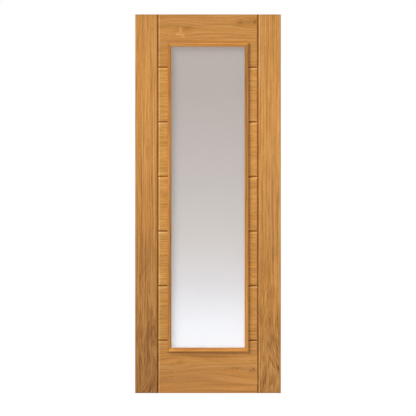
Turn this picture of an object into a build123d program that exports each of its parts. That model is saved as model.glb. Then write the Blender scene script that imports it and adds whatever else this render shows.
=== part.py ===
from build123d import *
import os

# A glazed interior door leaf in millimetres. X runs across the leaf from the hinge edge,
# Y through its thickness with the seen face towards -Y, and Z up from its bottom edge.

# Leaf
LEAF_WIDTH = 762.0
LEAF_HEIGHT = 1981.0
LEAF_THICKNESS = 35.0

# Stiles, with a solid lipping on each long edge
STILE_WIDTH = 119.0
LIPPING_THICKNESS = 8.0
LIPPING_RADIUS = 1.5

# Rails: each is cut round an end of the glazed opening, with a leg up or down either side of it
TOP_RAIL_HEIGHT = 159.0
TOP_LEG_LENGTH = 117.75
BOTTOM_RAIL_HEIGHT = 228.0
BOTTOM_LEG_LENGTH = 48.75

# Short cross boards between a stile and the opening, stacked between the rails' legs
BOARD_LENGTH = 60.5
BOARD_COUNT = 5

# V-joints: chamfered arrises on both faces and a tongue in a groove between them
V_HALF_WIDTH = 7.5
V_DEPTH = 9.0
TONGUE_THICKNESS = 10.0
TONGUE_LENGTH = 10.0
TONGUE_CHEEK_FIT = 0.1
TONGUE_END_GAP = 0.5

# Glass
GLASS_THICKNESS = 6.0
GLASS_EDGE_GAP = 3.0

# Beads: a leg in the opening holds the glass, and a rounded lip covers the edge of the face
BEAD_LEG_WIDTH = 10.0
BEAD_LEG_FIT = 0.3
BEAD_LIP_WIDTH = 10.5
BEAD_PROUD = 11.0
BEAD_CREST_WIDTH = 5.0
BEAD_OUTER_RADIUS = 1.2
BEAD_SIGHT_RISE = 8.0

# Places worked out from the sizes above
MID_X = LEAF_WIDTH / 2
HALF_THICKNESS = LEAF_THICKNESS / 2
OPENING_LEFT = STILE_WIDTH + BOARD_LENGTH
OPENING_WIDTH = LEAF_WIDTH - 2 * OPENING_LEFT
OPENING_BOTTOM = BOTTOM_RAIL_HEIGHT
OPENING_TOP = LEAF_HEIGHT - TOP_RAIL_HEIGHT
OPENING_HEIGHT = OPENING_TOP - OPENING_BOTTOM
OPENING_MID_Z = (OPENING_BOTTOM + OPENING_TOP) / 2
BOARDS_BOTTOM = BOTTOM_RAIL_HEIGHT + BOTTOM_LEG_LENGTH
BOARDS_TOP = OPENING_TOP - TOP_LEG_LENGTH
BOARD_HEIGHT = (BOARDS_TOP - BOARDS_BOTTOM) / BOARD_COUNT
SIGHT_WIDTH = OPENING_WIDTH - 2 * BEAD_LEG_WIDTH
SIGHT_HEIGHT = OPENING_HEIGHT - 2 * BEAD_LEG_WIDTH
BEAD_WIDTH = BEAD_LEG_WIDTH + BEAD_LIP_WIDTH
BEAD_LEG_DEPTH = HALF_THICKNESS - GLASS_THICKNESS / 2
GROOVE_WIDTH = TONGUE_THICKNESS + 2 * TONGUE_CHEEK_FIT
GROOVE_DEPTH = TONGUE_LENGTH + TONGUE_END_GAP

LEFT_RIGHT = Plane.YZ.offset(MID_X)
FRONT_BACK = Plane.XZ
UP_DOWN_IN_OPENING = Plane.XY.offset(OPENING_MID_Z)

os.makedirs("parts", exist_ok=True)


def save(piece, label):
    """Label one finished piece and write it to its own file."""
    piece.label = label
    export_step(piece, f"parts/{label}.step")


def save_mirrored(piece, plane, label):
    """Save the matching piece on the other side of a plane of symmetry."""
    with BuildPart() as twin:
        mirror(piece, about=plane)
    save(twin.part, label)
    return twin.part


def v_chamfer(piece, jointed):
    """Cut half a V along the jointed edges of the front and back faces of the piece being built."""
    for side in (0, -1):
        face = piece.faces().sort_by(Axis.Y)[side]
        arrises = face.edges().filter_by(jointed)
        chamfer(arrises, length=V_HALF_WIDTH, length2=V_DEPTH, reference=face)


def side_tongue(x, bottom, height, towards):
    """A tongue down the end of a piece, standing out from x into a stile's groove."""
    with Locations((x, 0, bottom)):
        Box(TONGUE_LENGTH, TONGUE_THICKNESS, height, align=(towards, Align.CENTER, Align.MIN))


def top_tongue(x, top, length):
    """A tongue along the upper edge of a piece."""
    with Locations((x, 0, top)):
        Box(length, TONGUE_THICKNESS, TONGUE_LENGTH, align=(Align.MIN, Align.CENTER, Align.MIN))


def bottom_groove(x, bottom, length):
    """A groove along the lower edge of a piece, for the tongue of the piece below."""
    with Locations((x, 0, bottom)):
        Box(
            length,
            GROOVE_WIDTH,
            GROOVE_DEPTH,
            align=(Align.MIN, Align.CENTER, Align.MIN),
            mode=Mode.SUBTRACT,
        )


def rail_blank(bottom, top):
    """A cross piece from stile to stile with the glazed opening cut out of it, in an open sketch."""
    with Locations((MID_X, bottom)):
        Rectangle(LEAF_WIDTH - 2 * STILE_WIDTH, top - bottom, align=(Align.CENTER, Align.MIN))
    with Locations((MID_X, OPENING_BOTTOM)):
        Rectangle(
            OPENING_WIDTH,
            OPENING_HEIGHT,
            align=(Align.CENTER, Align.MIN),
            mode=Mode.SUBTRACT,
        )


def v_jointed(edge, joint_z):
    """True for an arris along a stile, or along the ends of a rail's legs."""
    middle = edge.center()
    beside_stile = abs(middle.X - MID_X) > MID_X - STILE_WIDTH - V_HALF_WIDTH
    at_leg_end = abs(middle.Z - joint_z) < V_HALF_WIDTH
    return beside_stile or at_leg_end


# Stiles: a grooved and chamfered section, run the full height
with BuildPart() as left_stile:
    with BuildSketch(Plane.XY):
        with Locations((LIPPING_THICKNESS, 0)):
            Rectangle(
                STILE_WIDTH - LIPPING_THICKNESS,
                LEAF_THICKNESS,
                align=(Align.MIN, Align.CENTER),
            )
        inner_edge = edges().sort_by(Axis.X)[-1]
        chamfer(inner_edge.vertices(), length=V_DEPTH, length2=V_HALF_WIDTH, reference=inner_edge)
        with Locations((STILE_WIDTH, 0)):
            Rectangle(
                GROOVE_DEPTH,
                GROOVE_WIDTH,
                align=(Align.MAX, Align.CENTER),
                mode=Mode.SUBTRACT,
            )
    extrude(amount=LEAF_HEIGHT)
save(left_stile.part, "left_stile")
save_mirrored(left_stile.part, LEFT_RIGHT, "right_stile")

# Lippings, with their outer arrises eased
with BuildPart() as left_lipping:
    with BuildSketch(Plane.XY):
        Rectangle(LIPPING_THICKNESS, LEAF_THICKNESS, align=(Align.MIN, Align.CENTER))
        fillet(vertices().group_by(Axis.X)[0], radius=LIPPING_RADIUS)
    extrude(amount=LEAF_HEIGHT)
save(left_lipping.part, "left_lipping")
save_mirrored(left_lipping.part, LEFT_RIGHT, "right_lipping")

# Top rail: legs grooved underneath for the boards below
with BuildPart() as top_rail:
    with BuildSketch(Plane.XZ):
        rail_blank(BOARDS_TOP, LEAF_HEIGHT)
    extrude(amount=HALF_THICKNESS, both=True)
    v_chamfer(top_rail, lambda edge: v_jointed(edge, BOARDS_TOP))
    top_rail_height = LEAF_HEIGHT - BOARDS_TOP
    side_tongue(STILE_WIDTH, BOARDS_TOP, top_rail_height, Align.MAX)
    side_tongue(LEAF_WIDTH - STILE_WIDTH, BOARDS_TOP, top_rail_height, Align.MIN)
    bottom_groove(STILE_WIDTH, BOARDS_TOP, BOARD_LENGTH)
    bottom_groove(OPENING_LEFT + OPENING_WIDTH, BOARDS_TOP, BOARD_LENGTH)
save(top_rail.part, "top_rail")

# Bottom rail: legs tongued on top for the boards above
with BuildPart() as bottom_rail:
    with BuildSketch(Plane.XZ):
        rail_blank(0, BOARDS_BOTTOM)
    extrude(amount=HALF_THICKNESS, both=True)
    v_chamfer(bottom_rail, lambda edge: v_jointed(edge, BOARDS_BOTTOM))
    side_tongue(STILE_WIDTH, 0, BOARDS_BOTTOM, Align.MAX)
    side_tongue(LEAF_WIDTH - STILE_WIDTH, 0, BOARDS_BOTTOM, Align.MIN)
    top_tongue(STILE_WIDTH, BOARDS_BOTTOM, BOARD_LENGTH)
    top_tongue(OPENING_LEFT + OPENING_WIDTH, BOARDS_BOTTOM, BOARD_LENGTH)
save(bottom_rail.part, "bottom_rail")

# Short boards, counted from the bottom up on each side of the glass
for number in range(1, BOARD_COUNT + 1):
    board_bottom = BOARDS_BOTTOM + (number - 1) * BOARD_HEIGHT
    with BuildPart() as board:
        with BuildSketch(Plane.XY.offset(board_bottom)):
            with Locations((STILE_WIDTH, 0)):
                Rectangle(BOARD_LENGTH, LEAF_THICKNESS, align=(Align.MIN, Align.CENTER))
        extrude(amount=BOARD_HEIGHT)
        v_chamfer(board, lambda edge: edge.center().X < OPENING_LEFT - V_HALF_WIDTH / 2)
        side_tongue(STILE_WIDTH, board_bottom, BOARD_HEIGHT, Align.MAX)
        top_tongue(STILE_WIDTH, board_bottom + BOARD_HEIGHT, BOARD_LENGTH)
        bottom_groove(STILE_WIDTH, board_bottom, BOARD_LENGTH)
    save(board.part, f"left_board_{number}")
    save_mirrored(board.part, LEFT_RIGHT, f"right_board_{number}")

# Glass, held between the legs of the front and back beads
with BuildPart() as glass_pane:
    with Locations((MID_X, 0, OPENING_MID_Z)):
        Box(OPENING_WIDTH - 2 * GLASS_EDGE_GAP, GLASS_THICKNESS, OPENING_HEIGHT - 2 * GLASS_EDGE_GAP)
save(glass_pane.part, "glass_pane")


def mitred_bead(sight_point, outwards, sight_length):
    """A front bead run along one side of the glass and mitred at both ends.

    sight_point is the middle of its sight line on the face of the leaf, and outwards is the
    direction from the glass to the bead. In its section x runs outwards from the sight line
    and y out from the face.
    """
    crest_outer = (BEAD_WIDTH - BEAD_OUTER_RADIUS, BEAD_PROUD)
    crest_inner = (BEAD_WIDTH - BEAD_OUTER_RADIUS - BEAD_CREST_WIDTH, BEAD_PROUD)
    outer_top = (BEAD_WIDTH, BEAD_PROUD - BEAD_OUTER_RADIUS)
    sight_top = (0, BEAD_SIGHT_RISE)
    leg_side = BEAD_LEG_WIDTH - BEAD_LEG_FIT
    out_of_face = Vector(0, -1, 0)
    along = outwards.cross(out_of_face)
    with BuildPart() as bead:
        with BuildSketch(Plane(sight_point, x_dir=outwards, z_dir=along)):
            with BuildLine():
                TangentArc(crest_inner, sight_top, tangent=(-1, 0))
                Line(crest_inner, crest_outer)
                TangentArc(crest_outer, outer_top, tangent=(1, 0))
                Polyline(
                    outer_top,
                    (BEAD_WIDTH, 0),
                    (leg_side, 0),
                    (leg_side, -BEAD_LEG_DEPTH),
                    (0, -BEAD_LEG_DEPTH),
                    sight_top,
                )
            make_face()
        extrude(amount=sight_length / 2 + BEAD_WIDTH, both=True)
        for end in (along, -along):
            corner = sight_point + end * (sight_length / 2)
            split(bisect_by=Plane(corner, x_dir=out_of_face, z_dir=end - outwards), keep=Keep.BOTTOM)
    return bead.part


# Front beads, with the opposite ones mirrored across the opening
left_sight = Vector(OPENING_LEFT + BEAD_LEG_WIDTH, -HALF_THICKNESS, OPENING_MID_Z)
top_sight = Vector(MID_X, -HALF_THICKNESS, OPENING_TOP - BEAD_LEG_WIDTH)
left_bead = mitred_bead(left_sight, Vector(-1, 0, 0), SIGHT_HEIGHT)
top_bead = mitred_bead(top_sight, Vector(0, 0, 1), SIGHT_WIDTH)
save(left_bead, "front_bead_left")
save(top_bead, "front_bead_top")
right_bead = save_mirrored(left_bead, LEFT_RIGHT, "front_bead_right")
bottom_bead = save_mirrored(top_bead, UP_DOWN_IN_OPENING, "front_bead_bottom")

# Back beads, mirrored from the front ones
save_mirrored(left_bead, FRONT_BACK, "back_bead_left")
save_mirrored(right_bead, FRONT_BACK, "back_bead_right")
save_mirrored(top_bead, FRONT_BACK, "back_bead_top")
save_mirrored(bottom_bead, FRONT_BACK, "back_bead_bottom")
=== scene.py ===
import math
from dataclasses import dataclass

import bpy
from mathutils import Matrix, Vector


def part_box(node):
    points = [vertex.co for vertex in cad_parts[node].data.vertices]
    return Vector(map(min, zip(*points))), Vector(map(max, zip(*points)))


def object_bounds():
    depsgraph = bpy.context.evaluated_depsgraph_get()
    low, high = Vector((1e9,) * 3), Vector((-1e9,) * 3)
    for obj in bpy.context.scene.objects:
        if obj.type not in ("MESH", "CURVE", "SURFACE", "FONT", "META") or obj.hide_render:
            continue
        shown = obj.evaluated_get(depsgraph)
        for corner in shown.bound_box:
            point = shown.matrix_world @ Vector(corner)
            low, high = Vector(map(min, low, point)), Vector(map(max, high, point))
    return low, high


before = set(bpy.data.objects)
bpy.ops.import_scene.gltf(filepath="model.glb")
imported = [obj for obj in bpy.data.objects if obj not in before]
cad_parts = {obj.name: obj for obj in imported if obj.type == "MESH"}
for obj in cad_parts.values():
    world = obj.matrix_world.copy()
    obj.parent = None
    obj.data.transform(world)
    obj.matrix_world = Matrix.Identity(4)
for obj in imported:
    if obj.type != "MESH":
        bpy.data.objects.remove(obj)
cad_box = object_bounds()
leaf_low, leaf_high = cad_box
leaf_centre = (leaf_low + leaf_high) / 2

# The photograph: square on to the face, with no perspective
PHOTO_SIDE = 416.0
METRES_PER_PIXEL = 0.0052314
LEAF_CENTRE_PIXEL = (208.03, 203.75)
CAMERA_DISTANCE = 4.0

# Light: a large soft box from the upper left, a weaker one behind, and an even pale room
LAMP_DISTANCE = 20.0
KEY_DIRECTION = Vector((-0.56, -0.54, 0.63))
KEY_SIZE = 11.0
KEY_POWER = 3800.0
BACK_DIRECTION = Vector((0.45, 0.75, 0.50))
BACK_SIZE = 8.0
BACK_POWER = 1650.0
ROOM_COLOUR = (1.0, 1.0, 1.0, 1.0)
ROOM_LIGHT = 0.27
WHITE_SEEN = 1.0
WHITE_THROUGH_GLASS = 1.47
FLOOR_HALF = 6.0
FLOOR_COLOUR = (0.86, 0.86, 0.85, 1.0)
FLOOR_ROUGHNESS = 0.7

# Oak, from dark pore lines to pale late wood, in linear colours
OAK_STOPS = (
    (0.00, (0.190, 0.074, 0.013)),
    (0.30, (0.420, 0.178, 0.037)),
    (0.60, (0.590, 0.268, 0.066)),
    (1.00, (0.760, 0.392, 0.124)),
)
MEAN_PALENESS = 0.60

# Noises: how much fine detail they have, their middle value, and how far apart two seeds lie
PLAIN_DETAIL, FINE_DETAIL = 1.0, 2.0
NOISE_MIDDLE = 0.5
SEED_STEP = 3.17

# Streaks run straight and long. Strokes are shorter, and lean away from a heart that drifts.
STREAK_LENGTH, STREAK_WIDTH, STREAK_CONTRAST = 0.50, 0.0053, 1.14
STROKE_LENGTH, STROKE_WIDTH, STROKE_CONTRAST = 0.070, 0.0054, 1.10
STROKE_FAN, STROKE_FAN_POWER = 0.046, 4.0
HEART_LENGTH, HEART_WIDTH, HEART_DRIFT = 0.25, 1.0, 0.14
HEART_ROUNDING = 0.012

# Fibres and clouds lie over both, and are weaker where the grain is straight
FIBRE_LENGTH, FIBRE_WIDTH, FIBRE_CONTRAST = 0.10, 0.0048, 0.85
CLOUD_LENGTH, CLOUD_WIDTH, CLOUD_CONTRAST = 0.30, 0.050, 0.45
STRAIGHT_FIBRES, STRAIGHT_CLOUDS = 0.70, 0.25

# Pores are short dark lines, sunken and duller than the satin lacquer
PORE_LENGTH, PORE_WIDTH, PORE_CONTRAST = 0.022, 0.0007, 0.25
PORE_START, PORE_FULL = 0.54, 0.66
PORE_DEPTH = 0.00015
FIBRE_RELIEF = 0.3
RELIEF_STRENGTH = 0.6
LACQUER_ROUGHNESS, PORE_ROUGHNESS = 0.40, 0.60
LACQUER_SPECULAR = 0.35

# The fibres wander slowly from side to side, and the strokes waver as well
WANDER_LENGTH, WANDER_WIDTH, WANDER = 0.9, 0.2, 0.016
WAVE_LENGTH, WAVE_WIDTH, WAVE = 0.13, 0.04, 0.013

# Warmth: long streaks of russet and of olive brown, as tints
WARMTH_LENGTH, WARMTH_WIDTH, WARMTH_ROUGHNESS = 0.8, 0.012, 0.6
WARMTH_STOPS = (
    (0.35, (0.985, 1.01, 1.12)),
    (0.65, (1.02, 0.985, 0.82)),
)

# V-joints: painted shade darkens the bottom of each groove, and painted highlights lighten its slopes and
# arrises
UPRIGHT_REACH = 0.0075
# Painted shade and highlight in the upright V-joints, on the stiles
STILE_SHADE_AND_HIGHLIGHT_STOPS = (
    (0.00, (0.54, 0.40, 0.18)),
    (0.15, (0.66, 0.53, 0.34)),
    (0.35, (0.89, 0.87, 0.90)),
    (0.58, (1.17, 1.36, 1.80)),
    (0.96, (1.17, 1.36, 1.80)),
    (1.00, (1.00, 1.00, 1.00)),
)
# Painted shade and highlight in the upright V-joints, on the wood beside the stiles
BESIDE_STILE_SHADE_AND_HIGHLIGHT_STOPS = (
    (0.00, (0.47, 0.34, 0.15)),
    (0.18, (0.59, 0.47, 0.30)),
    (0.42, (0.79, 0.77, 0.79)),
    (0.70, (1.12, 1.30, 1.72)),
    (0.96, (1.15, 1.35, 1.80)),
    (1.00, (1.00, 1.00, 1.00)),
)
LEVEL_REACH = 0.0100
# Painted shade and highlight in the level V-joints
LEVEL_SHADE_AND_HIGHLIGHT_STOPS = (
    (0.00, (0.58, 0.46, 0.22)),
    (0.12, (0.68, 0.56, 0.38)),
    (0.28, (0.90, 0.90, 0.92)),
    (0.50, (1.15, 1.30, 1.70)),
    (0.85, (1.15, 1.30, 1.70)),
    (1.00, (1.00, 1.00, 1.00)),
)
# A painted highlight along the lit lower slope under each level V-joint
LEVEL_ARRIS_DROP, LEVEL_ARRIS_REACH = 0.0100, 0.0042
LEVEL_ARRIS_HIGHLIGHT_STOPS = (
    (0.00, (1.26, 1.40, 1.85)),
    (1.00, (1.00, 1.00, 1.00)),
)
# A painted highlight along the lit slope of the left upright V-joint
LEFT_ARRIS_STEP, LEFT_ARRIS_REACH = 0.0078, 0.0030
LEFT_ARRIS_HIGHLIGHT_STOPS = (
    (0.00, (1.12, 1.22, 1.55)),
    (1.00, (1.00, 1.00, 1.00)),
)

# The feet of the stiles are of a redder brown
FOOT_REACH = {"left": 1.4, "right": 0.8}
FOOT_STOPS = {
    "left": ((0.0, (1.00, 0.92, 0.85)), (1.0, (1.0, 1.0, 1.0))),
    "right": ((0.0, (1.00, 0.98, 0.93)), (1.0, (1.0, 1.0, 1.0))),
}

# The top and bottom edges of the leaf are darker
END_REACH = 0.010
END_STOPS = (
    (0.00, (0.78, 0.71, 0.58)),
    (0.50, (0.94, 0.91, 0.87)),
    (1.00, (1.00, 1.00, 1.00)),
)

# Beads: painted shade darkens the slope beside the glass, and a faint painted highlight lightens the
# crest
SIGHT_REACH = 0.0155
BEAD_SLOPE_SHADE_STOPS = (
    (0.00, (0.85, 0.79, 0.68)),
    (0.45, (0.95, 0.93, 0.89)),
    (0.75, (1.01, 1.03, 1.05)),
    (1.00, (1.01, 1.03, 1.05)),
)

# Glass: a painted reflection of a backdrop, grey above, fading to white below, in linear colours from its
# bottom edge to its top
GLASS_REFLECTION_STOPS = (
    (0.02, (0.950, 0.960, 1.000)),
    (0.09, (0.897, 0.906, 0.942)),
    (0.22, (0.752, 0.731, 0.745)),
    (0.36, (0.664, 0.630, 0.609)),
    (0.55, (0.582, 0.541, 0.518)),
    (0.85, (0.515, 0.463, 0.434)),
)
GLASS_CLEARNESS = 0.62
GLASS_ROUGHNESS = 0.08
GLASS_IOR = 1.5


def at_pixel(column, row):
    """The place across the leaf and the height that a pixel of the photograph shows."""
    return (
        leaf_centre.x + (column - LEAF_CENTRE_PIXEL[0]) * METRES_PER_PIXEL,
        leaf_centre.z - (row - LEAF_CENTRE_PIXEL[1]) * METRES_PER_PIXEL,
    )


def at_upright_pixel(column, row):
    """The same pair with the height first, as upright grain measures it."""
    across, height = at_pixel(column, row)
    return height, across


class Nodes:
    """Short calls for building one node tree. A socket, a number or a vector can feed any input."""

    def __init__(self, tree):
        self.tree = tree

    def add(self, kind, **settings):
        node = self.tree.nodes.new(kind)
        for name, value in settings.items():
            setattr(node, name, value)
        return node

    def feed(self, socket, value):
        if isinstance(value, bpy.types.NodeSocket):
            self.tree.links.new(value, socket)
        else:
            socket.default_value = value

    def math(self, operation, *values):
        node = self.add("ShaderNodeMath", operation=operation)
        for socket, value in zip(node.inputs, values):
            self.feed(socket, value)
        return node.outputs[0]

    def plus(self, *values):
        total = values[0]
        for value in values[1:]:
            total = self.math("ADD", total, value)
        return total

    def times(self, *values):
        product = values[0]
        for value in values[1:]:
            product = self.math("MULTIPLY", product, value)
        return product

    def minus(self, value, taken):
        return self.math("SUBTRACT", value, taken)

    def swing(self, noise, size):
        """How far a noise is from its middle, scaled."""
        return self.times(self.minus(noise, NOISE_MIDDLE), size)

    def length(self, *sides):
        """The length of a line with these sides."""
        return self.math("SQRT", self.plus(*(self.math("POWER", side, 2.0) for side in sides)))

    def combine(self, x, y, z):
        node = self.add("ShaderNodeCombineXYZ")
        for socket, value in zip(node.inputs, (x, y, z)):
            self.feed(socket, value)
        return node.outputs[0]

    def separate(self, value):
        node = self.add("ShaderNodeSeparateXYZ")
        self.feed(node.inputs[0], value)
        return node.outputs["X"], node.outputs["Y"], node.outputs["Z"]

    def noise(self, where, detail, roughness=0.5, output="Fac"):
        node = self.add("ShaderNodeTexNoise", noise_dimensions="3D")
        self.feed(node.inputs["Vector"], where)
        node.inputs["Scale"].default_value = 1.0
        node.inputs["Detail"].default_value = detail
        node.inputs["Roughness"].default_value = roughness
        return node.outputs[output]

    def remap(self, value, from_low, from_high, to_low=0.0, to_high=1.0, shape="SMOOTHSTEP"):
        node = self.add("ShaderNodeMapRange", interpolation_type=shape)
        for socket, given in zip(node.inputs, (value, from_low, from_high, to_low, to_high)):
            self.feed(socket, given)
        return node.outputs[0]

    def ramp(self, value, stops, shape="LINEAR"):
        node = self.add("ShaderNodeValToRGB")
        node.color_ramp.interpolation = shape
        elements = node.color_ramp.elements
        while len(elements) > len(stops):
            elements.remove(elements[-1])
        while len(elements) < len(stops):
            elements.new(1.0)
        for element, (position, colour) in zip(elements, stops):
            element.position = position
            element.color = (*colour, 1.0)
        self.feed(node.inputs[0], value)
        return node.outputs[0]

    def tinted(self, colour, *tints):
        for tint in tints:
            node = self.add("ShaderNodeMix", data_type="RGBA", blend_type="MULTIPLY")
            sockets = {socket.identifier: socket for socket in node.inputs}
            sockets["Factor_Float"].default_value = 1.0
            self.feed(sockets["A_Color"], colour)
            self.feed(sockets["B_Color"], tint)
            colour = next(socket for socket in node.outputs if socket.identifier == "Result_Color")
        return colour


def new_material(name):
    """An empty node material, with its Principled shader wired to the output."""
    material = bpy.data.materials.new(name)
    material.use_nodes = True
    material.node_tree.nodes.clear()
    nodes = Nodes(material.node_tree)
    shader = nodes.add("ShaderNodeBsdfPrincipled")
    output = nodes.add("ShaderNodeOutputMaterial")
    nodes.tree.links.new(shader.outputs[0], output.inputs["Surface"])
    return material, nodes, shader


@dataclass
class Knot:
    """A place that the grain parts round. Pairs are measured along and across the grain."""

    place: tuple
    reach: tuple
    spread: float


@dataclass
class Mark:
    """A soft pale or dark spot. Pairs are measured along and across the grain."""

    place: tuple
    reach: tuple
    paleness: float


@dataclass
class Edge:
    """A level or upright line that tints the wood beside it, as far as its reach."""

    axis: str
    place: float
    reach: float
    stops: tuple


@dataclass
class Cut:
    """How one piece was sawn from its log.

    The share of leaning strokes among straight streaks goes from the first to the second of
    its pair over the stretch named by turn, in shares of the piece's length. The strokes lean
    away from the heart. Contrast goes from the first to the second of its pair over the whole
    length, and tones are stops along it.
    """

    grain: str
    ends: tuple
    seed: int
    heart: float = 0.0
    leaning: tuple = (0.0, 0.0)
    turn: tuple = (0.0, 1.0)
    coarseness: float = 1.0
    contrast: tuple = (1.0, 1.0)
    tones: tuple = ((0.0, 1.0),)
    tint: tuple = (1.0, 1.0, 1.0)
    knots: tuple = ()
    marks: tuple = ()
    edges: tuple = ()


class Oak:
    """One oak material: streaks, strokes, fibres and pores carried through the solid wood."""

    def __init__(self, name, cut):
        self.material, self.nodes, self.shader = new_material(name)
        self.cut = cut
        self.shift = cut.seed * SEED_STEP
        self.find_grain()
        self.add_marks()
        self.part_round_knots()
        self.wander()
        self.colour()
        self.finish()

    def find_grain(self):
        """Places along, across and through the piece, the share of the way along it, and its edges."""
        nodes, cut = self.nodes, self.cut
        x, y, z = nodes.separate(nodes.add("ShaderNodeTexCoord").outputs["Object"])
        self.along, self.across = (z, x) if cut.grain == "Z" else (x, z)
        self.through = y
        self.share = nodes.remap(self.along, *cut.ends, shape="LINEAR")
        self.edge_tints = []
        for edge in cut.edges:
            distance = nodes.math("ABSOLUTE", nodes.minus(x if edge.axis == "X" else z, edge.place))
            self.edge_tints.append(nodes.ramp(nodes.times(distance, 1 / edge.reach), edge.stops))

    def nearness(self, spot):
        """1 at a knot or mark, falling to nothing past its reach, and the way across to it."""
        nodes = self.nodes
        off_along = nodes.minus(self.along, spot.place[0])
        off_across = nodes.minus(self.across, spot.place[1])
        far_along = nodes.times(off_along, 1 / spot.reach[0])
        far_across = nodes.times(off_across, 1 / spot.reach[1])
        far = nodes.plus(nodes.times(far_along, far_along), nodes.times(far_across, far_across))
        return nodes.math("EXPONENT", nodes.times(far, -1.0)), off_across

    def add_marks(self):
        nodes = self.nodes
        self.mark_paleness = 0.0
        for mark in self.cut.marks:
            near, _ = self.nearness(mark)
            self.mark_paleness = nodes.plus(self.mark_paleness, nodes.times(near, mark.paleness))

    def part_round_knots(self):
        nodes = self.nodes
        parted = self.across
        for knot in self.cut.knots:
            near, off_across = self.nearness(knot)
            parted = nodes.minus(parted, nodes.times(off_across, near, knot.spread))
        self.across = parted

    def stretched(self, length, width):
        """A place for a noise whose cells are so long along the grain and so wide across it."""
        nodes = self.nodes
        return nodes.combine(
            nodes.plus(nodes.times(self.along, 1 / length), self.shift),
            nodes.plus(nodes.times(self.across, 1 / width), self.shift),
            nodes.times(self.through, 1 / width),
        )

    def wander(self):
        """Let the fibres drift slowly from side to side."""
        nodes = self.nodes
        drift = nodes.noise(self.stretched(WANDER_LENGTH, WANDER_WIDTH), FINE_DETAIL, output="Color")
        drift_across, drift_through, _ = nodes.separate(drift)
        self.across = nodes.plus(self.across, nodes.swing(drift_across, WANDER))
        self.through = nodes.plus(self.through, nodes.swing(drift_through, WANDER))

    def strokes(self):
        """Short brush-like strokes that waver, and lean away from the heart on both sides."""
        nodes, cut = self.nodes, self.cut
        wave = nodes.noise(self.stretched(WAVE_LENGTH, WAVE_WIDTH), PLAIN_DETAIL)
        drift = nodes.noise(self.stretched(HEART_LENGTH, HEART_WIDTH), PLAIN_DETAIL)
        heart = nodes.plus(cut.heart, nodes.swing(drift, HEART_DRIFT))
        fan = nodes.math("POWER", nodes.minus(1.0, self.share), STROKE_FAN_POWER)
        ring = nodes.plus(
            nodes.length(nodes.minus(self.across, heart), HEART_ROUNDING),
            nodes.times(fan, -STROKE_FAN * (cut.ends[1] - cut.ends[0])),
            nodes.swing(wave, WAVE),
        )
        where = nodes.combine(
            nodes.plus(nodes.times(self.along, 1 / STROKE_LENGTH), self.shift),
            nodes.plus(nodes.times(ring, 1 / (STROKE_WIDTH * cut.coarseness)), self.shift),
            nodes.times(self.through, 1 / STROKE_WIDTH),
        )
        return nodes.noise(where, PLAIN_DETAIL)

    def colour(self):
        """Mix the figure, and tint it by its warmth, its tone and the edges nearby, some of which paint
        shade and highlights.
        """
        nodes, cut = self.nodes, self.cut
        cloud = nodes.noise(self.stretched(CLOUD_LENGTH, CLOUD_WIDTH), PLAIN_DETAIL)
        streak = nodes.noise(self.stretched(STREAK_LENGTH, STREAK_WIDTH * cut.coarseness), PLAIN_DETAIL)
        fibre_size = (FIBRE_LENGTH * cut.coarseness, FIBRE_WIDTH * cut.coarseness)
        self.fibre = nodes.noise(self.stretched(*fibre_size), PLAIN_DETAIL)
        pore_noise = nodes.noise(self.stretched(PORE_LENGTH, PORE_WIDTH), FINE_DETAIL)
        self.pore = nodes.remap(pore_noise, PORE_START, PORE_FULL)
        leaning = nodes.remap(self.share, *cut.turn, *cut.leaning)
        straight_share = nodes.math("SQRT", nodes.minus(1.0, leaning))
        leaning_share = nodes.math("SQRT", leaning)
        clouded = nodes.remap(leaning, 0.0, 1.0, STRAIGHT_CLOUDS, 1.0, "LINEAR")
        fibrous = nodes.remap(leaning, 0.0, 1.0, STRAIGHT_FIBRES, 1.0, "LINEAR")
        figure = nodes.plus(
            nodes.times(nodes.swing(streak, STREAK_CONTRAST), straight_share),
            nodes.times(nodes.swing(self.strokes(), STROKE_CONTRAST), leaning_share),
            nodes.times(nodes.swing(self.fibre, FIBRE_CONTRAST), fibrous),
        )
        paleness = nodes.plus(
            MEAN_PALENESS,
            nodes.times(nodes.swing(cloud, CLOUD_CONTRAST), clouded),
            nodes.times(figure, nodes.remap(self.share, 0.0, 1.0, *cut.contrast, "LINEAR")),
            nodes.times(self.pore, -PORE_CONTRAST),
            self.mark_paleness,
        )
        warmth = nodes.noise(self.stretched(WARMTH_LENGTH, WARMTH_WIDTH), FINE_DETAIL, WARMTH_ROUGHNESS)
        tone_stops = [(share, [tone * part for part in cut.tint]) for share, tone in cut.tones]
        tints = [nodes.ramp(warmth, WARMTH_STOPS), nodes.ramp(self.share, tone_stops, "EASE")]
        oak = nodes.tinted(nodes.ramp(paleness, OAK_STOPS), *tints, *self.edge_tints)
        nodes.feed(self.shader.inputs["Base Color"], oak)

    def finish(self):
        """Satin lacquer, duller and sunken in the pores."""
        nodes, shader = self.nodes, self.shader
        roughness = nodes.remap(self.pore, 0.0, 1.0, LACQUER_ROUGHNESS, PORE_ROUGHNESS, "LINEAR")
        nodes.feed(shader.inputs["Roughness"], roughness)
        shader.inputs["Specular IOR Level"].default_value = LACQUER_SPECULAR
        bump = nodes.add("ShaderNodeBump")
        bump.inputs["Strength"].default_value = RELIEF_STRENGTH
        bump.inputs["Distance"].default_value = PORE_DEPTH
        nodes.feed(bump.inputs["Height"], nodes.minus(nodes.times(self.fibre, FIBRE_RELIEF), self.pore))
        nodes.feed(shader.inputs["Normal"], bump.outputs[0])


def dress(node, material):
    """Give one CAD node its material."""
    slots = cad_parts[node].data.materials
    slots.clear()
    slots.append(material)


def dress_in_oak(node, cut):
    """Give one CAD node an oak of its own."""
    dress(node, Oak(f"oak_{node}", cut).material)


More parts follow.
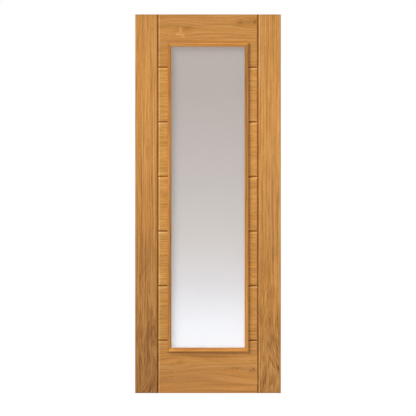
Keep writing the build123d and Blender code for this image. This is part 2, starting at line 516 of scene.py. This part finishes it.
# Where the V-joints lie: beside the stiles, and under and over the boards
SIDES = ("left", "right")
BOARD_COUNT = 5
UPRIGHTS = {"left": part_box("left_stile")[1].x, "right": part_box("right_stile")[0].x}
# The V-joints paint shade into their bottoms and highlights onto their slopes
STILE_JOINTS = {
    side: Edge("X", place, UPRIGHT_REACH, STILE_SHADE_AND_HIGHLIGHT_STOPS) for side, place in UPRIGHTS.items()
}
BESIDE_STILES = {
    side: Edge("X", place, UPRIGHT_REACH, BESIDE_STILE_SHADE_AND_HIGHLIGHT_STOPS) for side, place in UPRIGHTS.items()
}
# A painted highlight on the lit slope of the left upright V-joint
LEFT_ARRIS = Edge("X", UPRIGHTS["left"] + LEFT_ARRIS_STEP, LEFT_ARRIS_REACH, LEFT_ARRIS_HIGHLIGHT_STOPS)
LEVEL_HEIGHTS = [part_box(f"left_board_{number}")[0].z for number in range(1, BOARD_COUNT + 1)]
LEVEL_HEIGHTS.append(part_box("top_rail")[0].z)
LEVEL_JOINTS = [Edge("Z", height, LEVEL_REACH, LEVEL_SHADE_AND_HIGHLIGHT_STOPS) for height in LEVEL_HEIGHTS]
# Painted highlights on the lit slopes under the level joints
LEVEL_ARRIS_HIGHLIGHTS = [
    Edge("Z", height - LEVEL_ARRIS_DROP, LEVEL_ARRIS_REACH, LEVEL_ARRIS_HIGHLIGHT_STOPS) for height in LEVEL_HEIGHTS
]
TOP_END = Edge("Z", leaf_high.z, END_REACH, END_STOPS)
BOTTOM_END = Edge("Z", leaf_low.z, END_REACH, END_STOPS)

# Stiles and lippings: upright grain, straight above, and browner below. The strokes at the
# stiles' feet lean, and painted light lightens their slopes into the V-joints there.
LEAF_ENDS = (leaf_low.z, leaf_high.z)
STILE_SEEDS = {"left": 1, "right": 9}
LIPPING_SEEDS = {"left": 3, "right": 11}
STILE_HEARTS = {"left": 0.100, "right": 0.705}
STILE_LEANING, STILE_TURN = (0.90, 0.01), (0.05, 0.36)
STILE_CONTRASTS = {"left": (1.50, 0.82), "right": (1.30, 0.86)}
STILE_TONES = {
    "left": (
        (0.0, 0.57), (0.15, 0.64), (0.25, 0.77), (0.35, 0.76),
        (0.46, 0.91), (0.67, 1.00), (0.85, 1.10), (1.0, 1.02),
    ),
    "right": (
        (0.0, 0.75), (0.14, 0.83), (0.25, 0.94), (0.36, 0.915),
        (0.46, 0.96), (0.62, 1.045), (0.80, 1.07), (1.0, 1.06),
    ),
}
# Painted light: the slopes into the V-joints at the stiles' feet are lightened
FOOT_SLOPE_PAINTED_LIGHT = {
    "left": Mark(place=at_upright_pixel(156.6, 374.0), reach=(0.12, 0.006), paleness=0.22),
    "right": Mark(place=at_upright_pixel(258.6, 374.0), reach=(0.12, 0.006), paleness=0.22),
}
for side in SIDES:
    foot = Edge("Z", leaf_low.z, FOOT_REACH[side], FOOT_STOPS[side])
    dress_in_oak(f"{side}_stile", Cut(
        grain="Z", ends=LEAF_ENDS, seed=STILE_SEEDS[side], heart=STILE_HEARTS[side],
        leaning=STILE_LEANING, turn=STILE_TURN, contrast=STILE_CONTRASTS[side],
        tones=STILE_TONES[side], marks=(FOOT_SLOPE_PAINTED_LIGHT[side],),
        edges=(STILE_JOINTS[side], foot, TOP_END, BOTTOM_END),
    ))
    dress_in_oak(f"{side}_lipping", Cut(
        grain="Z", ends=LEAF_ENDS, seed=LIPPING_SEEDS[side], tones=STILE_TONES[side],
        edges=(foot, TOP_END, BOTTOM_END),
    ))

# Top rail: level grain that parts round a pale fleck on the left and a dark knot on the right
TOP_RAIL_SEED = 8
TOP_RAIL_COARSENESS = 1.736
TOP_RAIL_CONTRAST = (0.70, 0.70)
TOP_RAIL_TONES = ((0.0, 0.98), (1.0, 1.03))
FLECK_KNOT = Knot(place=at_pixel(177.0, 29.5), reach=(0.085, 0.038), spread=1.0)
FLECK_STEM = Mark(place=at_pixel(180.7, 30.2), reach=(0.0060, 0.015), paleness=0.46)
FLECK_LEFT_ARM = Mark(place=at_pixel(178.2, 34.3), reach=(0.011, 0.008), paleness=0.40)
FLECK_RIGHT_ARM = Mark(place=at_pixel(183.0, 35.6), reach=(0.009, 0.008), paleness=0.38)
FLECK_SHADE = Mark(place=at_pixel(188.0, 27.6), reach=(0.020, 0.008), paleness=-0.18)
DARK_KNOT = Knot(place=at_pixel(254.0, 23.0), reach=(0.090, 0.040), spread=1.0)
DARK_KNOT_EYE = Mark(place=at_pixel(240.0, 22.5), reach=(0.018, 0.018), paleness=-0.20)
DARK_KNOT_BROW = Mark(place=at_pixel(249.0, 17.6), reach=(0.040, 0.007), paleness=-0.14)
DARK_KNOT_TAIL = Mark(place=at_pixel(255.5, 21.0), reach=(0.012, 0.009), paleness=-0.16)
top_low, top_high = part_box("top_rail")
dress_in_oak("top_rail", Cut(
    grain="X", ends=(top_low.x, top_high.x), seed=TOP_RAIL_SEED,
    coarseness=TOP_RAIL_COARSENESS, contrast=TOP_RAIL_CONTRAST, tones=TOP_RAIL_TONES,
    knots=(FLECK_KNOT, DARK_KNOT),
    marks=(
        FLECK_STEM, FLECK_LEFT_ARM, FLECK_RIGHT_ARM, FLECK_SHADE,
        DARK_KNOT_EYE, DARK_KNOT_BROW, DARK_KNOT_TAIL,
    ),
    edges=(*BESIDE_STILES.values(), LEFT_ARRIS, LEVEL_JOINTS[-1], TOP_END),
))

# Bottom rail: level grain that parts round a knot on each side, and arches in the middle
BOTTOM_RAIL_SEED = 6
BOTTOM_RAIL_COARSENESS = 2.0
BOTTOM_RAIL_CONTRAST = (0.72, 0.72)
BOTTOM_RAIL_TONES = ((0.0, 0.88), (0.5, 0.89), (1.0, 0.98))
LEFT_KNOT = Knot(place=at_pixel(178.0, 363.0), reach=(0.100, 0.034), spread=0.9)
LEFT_KNOT_EYE = Mark(place=at_pixel(181.0, 361.5), reach=(0.018, 0.012), paleness=-0.14)
RIGHT_KNOT = Knot(place=at_pixel(254.0, 369.0), reach=(0.130, 0.045), spread=1.0)
RIGHT_KNOT_EYE = Mark(place=at_pixel(252.7, 370.0), reach=(0.020, 0.010), paleness=-0.30)
ARCH = Knot(place=at_pixel(206.0, 396.0), reach=(0.190, 0.150), spread=0.22)
DARK_BAND = Mark(place=at_pixel(234.0, 368.0), reach=(0.040, 0.009), paleness=-0.15)
PALE_BAND = Mark(place=at_pixel(210.0, 366.0), reach=(0.090, 0.016), paleness=0.10)
# Painted light: lightens the painted shade of the V-joint at the rail's right end
RAIL_END_PAINTED_LIGHT = Mark(place=at_pixel(257.2, 374.0), reach=(0.005, 0.12), paleness=0.30)
bottom_low, bottom_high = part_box("bottom_rail")
dress_in_oak("bottom_rail", Cut(
    grain="X", ends=(bottom_low.x, bottom_high.x), seed=BOTTOM_RAIL_SEED,
    coarseness=BOTTOM_RAIL_COARSENESS, contrast=BOTTOM_RAIL_CONTRAST, tones=BOTTOM_RAIL_TONES,
    knots=(LEFT_KNOT, RIGHT_KNOT, ARCH),
    marks=(RIGHT_KNOT_EYE, LEFT_KNOT_EYE, DARK_BAND, PALE_BAND, RAIL_END_PAINTED_LIGHT),
    edges=(*BESIDE_STILES.values(), LEFT_ARRIS, LEVEL_JOINTS[0], LEVEL_ARRIS_HIGHLIGHTS[0], BOTTOM_END),
))

# Boards: level grain, from the lowest to the highest on each side. Hearts are heights above
# each board's lower edge.
BOARD_SEEDS = {"left": 10, "right": 17}
BOARD_HEARTS = (0.20, 0.06, 0.16, 0.10, 0.22)
BOARD_LEANING = (0.55, 0.55)
BOARD_COARSENESS = 0.868
BOARD_CONTRAST = (0.80, 0.80)
BOARD_TONES = {"left": (0.95, 1.00, 1.06, 1.06, 1.06), "right": (1.01, 1.08, 1.09, 1.16, 1.12)}
BOARD_TINTS = {"left": (1.0, 1.05, 1.0), "right": (1.0, 1.0, 0.97)}
for side in SIDES:
    for number in range(1, BOARD_COUNT + 1):
        node = f"{side}_board_{number}"
        low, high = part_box(node)
        tone = BOARD_TONES[side][number - 1]
        beside = (BESIDE_STILES[side], LEFT_ARRIS) if side == "left" else (BESIDE_STILES[side],)
        levels = (LEVEL_JOINTS[number - 1], LEVEL_JOINTS[number], LEVEL_ARRIS_HIGHLIGHTS[number])
        dress_in_oak(node, Cut(
            grain="X", ends=(low.x, high.x), seed=BOARD_SEEDS[side] + number,
            heart=low.z + BOARD_HEARTS[number - 1], leaning=BOARD_LEANING,
            coarseness=BOARD_COARSENESS, contrast=BOARD_CONTRAST,
            tones=((0.0, tone),), tint=BOARD_TINTS[side],
            edges=(*beside, *levels),
        ))

# Beads: grain along each one, of a slightly redder wood
BEAD_SEEDS = {"front": 30, "back": 34}
BEAD_TINT = (1.03, 0.95, 0.78)
BEAD_TONES = {
    "left": ((0.0, 0.83), (1.0, 0.97)),
    "right": ((0.0, 0.95), (1.0, 0.73)),
    "top": ((0.0, 1.06),),
    "bottom": ((0.0, 1.11),),
}
# A painted highlight on the mitre at the front bead's lower left corner
MITRE_PAINTED_HIGHLIGHT = Mark(place=at_pixel(171.2, 350.4), reach=(0.013, 0.008), paleness=0.30)


def sight_edge(side, low, high):
    """The edge of a bead that lies beside the glass, with the painted shade of the slope next to it."""
    sights = {"left": ("X", high.x), "right": ("X", low.x), "top": ("Z", low.z), "bottom": ("Z", high.z)}
    return Edge(*sights[side], SIGHT_REACH, BEAD_SLOPE_SHADE_STOPS)


for face, first_seed in BEAD_SEEDS.items():
    for seed, (side, tones) in enumerate(BEAD_TONES.items(), first_seed):
        node = f"{face}_bead_{side}"
        low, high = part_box(node)
        upright = side in SIDES
        dress_in_oak(node, Cut(
            grain="Z" if upright else "X", ends=(low.z, high.z) if upright else (low.x, high.x),
            seed=seed, tones=tones, tint=BEAD_TINT,
            marks=(MITRE_PAINTED_HIGHLIGHT,) if node == "front_bead_bottom" else (),
            edges=(sight_edge(side, low, high),),
        ))


def glazing():
    """A milky pane with a clear glossy surface, whose tint fades from grey to white downwards as a
    painted reflection of a backdrop.
    """
    material, nodes, shader = new_material("glazing")
    _, _, height = nodes.separate(nodes.add("ShaderNodeTexCoord").outputs["Object"])
    low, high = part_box("glass_pane")
    share = nodes.remap(height, low.z, high.z, shape="LINEAR")
    nodes.feed(shader.inputs["Base Color"], nodes.ramp(share, GLASS_REFLECTION_STOPS))
    shader.inputs["Transmission Weight"].default_value = GLASS_CLEARNESS
    shader.inputs["Roughness"].default_value = GLASS_ROUGHNESS
    shader.inputs["IOR"].default_value = GLASS_IOR
    return material


dress("glass_pane", glazing())


def soft_box(name, direction, power, size):
    """A square soft box that faces the middle of the leaf."""
    lamp = bpy.data.lights.new(name, "AREA")
    lamp.energy = power
    lamp.size = size
    holder = bpy.data.objects.new(name, lamp)
    holder.location = leaf_centre + direction.normalized() * LAMP_DISTANCE
    holder.rotation_euler = (-direction).to_track_quat("-Z", "Y").to_euler()
    holder.visible_camera = False
    bpy.context.scene.collection.objects.link(holder)


soft_box("key_box", KEY_DIRECTION, KEY_POWER, KEY_SIZE)
soft_box("back_box", BACK_DIRECTION, BACK_POWER, BACK_SIZE)


def light_room():
    """Even pale light all round, seen by the camera as plain white, and brighter through glass."""
    world = bpy.data.worlds.new("room")
    world.use_nodes = True
    world.node_tree.nodes.clear()
    nodes = Nodes(world.node_tree)
    sky = nodes.add("ShaderNodeBackground")
    path = nodes.add("ShaderNodeLightPath").outputs
    through_glass = nodes.math("GREATER_THAN", path["Is Transmission Ray"], path["Diffuse Depth"])
    strength = nodes.remap(path["Is Camera Ray"], 0.0, 1.0, ROOM_LIGHT, WHITE_SEEN, "LINEAR")
    strength = nodes.remap(through_glass, 0.0, 1.0, strength, WHITE_THROUGH_GLASS, "LINEAR")
    nodes.feed(sky.inputs["Strength"], strength)
    sky.inputs["Color"].default_value = ROOM_COLOUR
    nodes.tree.links.new(sky.outputs[0], nodes.add("ShaderNodeOutputWorld").inputs["Surface"])
    bpy.context.scene.world = world


light_room()


def lay_floor():
    """A plain pale floor at the foot of the leaf."""
    corners = [
        (leaf_centre.x + side_x * FLOOR_HALF, side_y * FLOOR_HALF, leaf_low.z)
        for side_x, side_y in ((-1, -1), (1, -1), (1, 1), (-1, 1))
    ]
    mesh = bpy.data.meshes.new("floor")
    mesh.from_pydata(corners, [], [(0, 1, 2, 3)])
    floor = bpy.data.objects.new("floor", mesh)
    bpy.context.scene.collection.objects.link(floor)
    paint, _, shader = new_material("pale_floor")
    shader.inputs["Base Color"].default_value = FLOOR_COLOUR
    shader.inputs["Roughness"].default_value = FLOOR_ROUGHNESS
    mesh.materials.append(paint)


lay_floor()

# Camera: square on to the face, at the photograph's scale
lens = bpy.data.cameras.new("camera")
lens.type = "ORTHO"
lens.ortho_scale = PHOTO_SIDE * METRES_PER_PIXEL
camera = bpy.data.objects.new("camera", lens)
camera_x, camera_z = at_pixel(PHOTO_SIDE / 2, PHOTO_SIDE / 2)
camera.location = (camera_x, leaf_low.y - CAMERA_DISTANCE, camera_z)
camera.rotation_euler = (math.radians(90), 0.0, 0.0)
bpy.context.scene.collection.objects.link(camera)
bpy.context.scene.camera = camera

bpy.context.scene.view_settings.view_transform = "Standard"
bpy.context.scene.view_settings.look = "None"
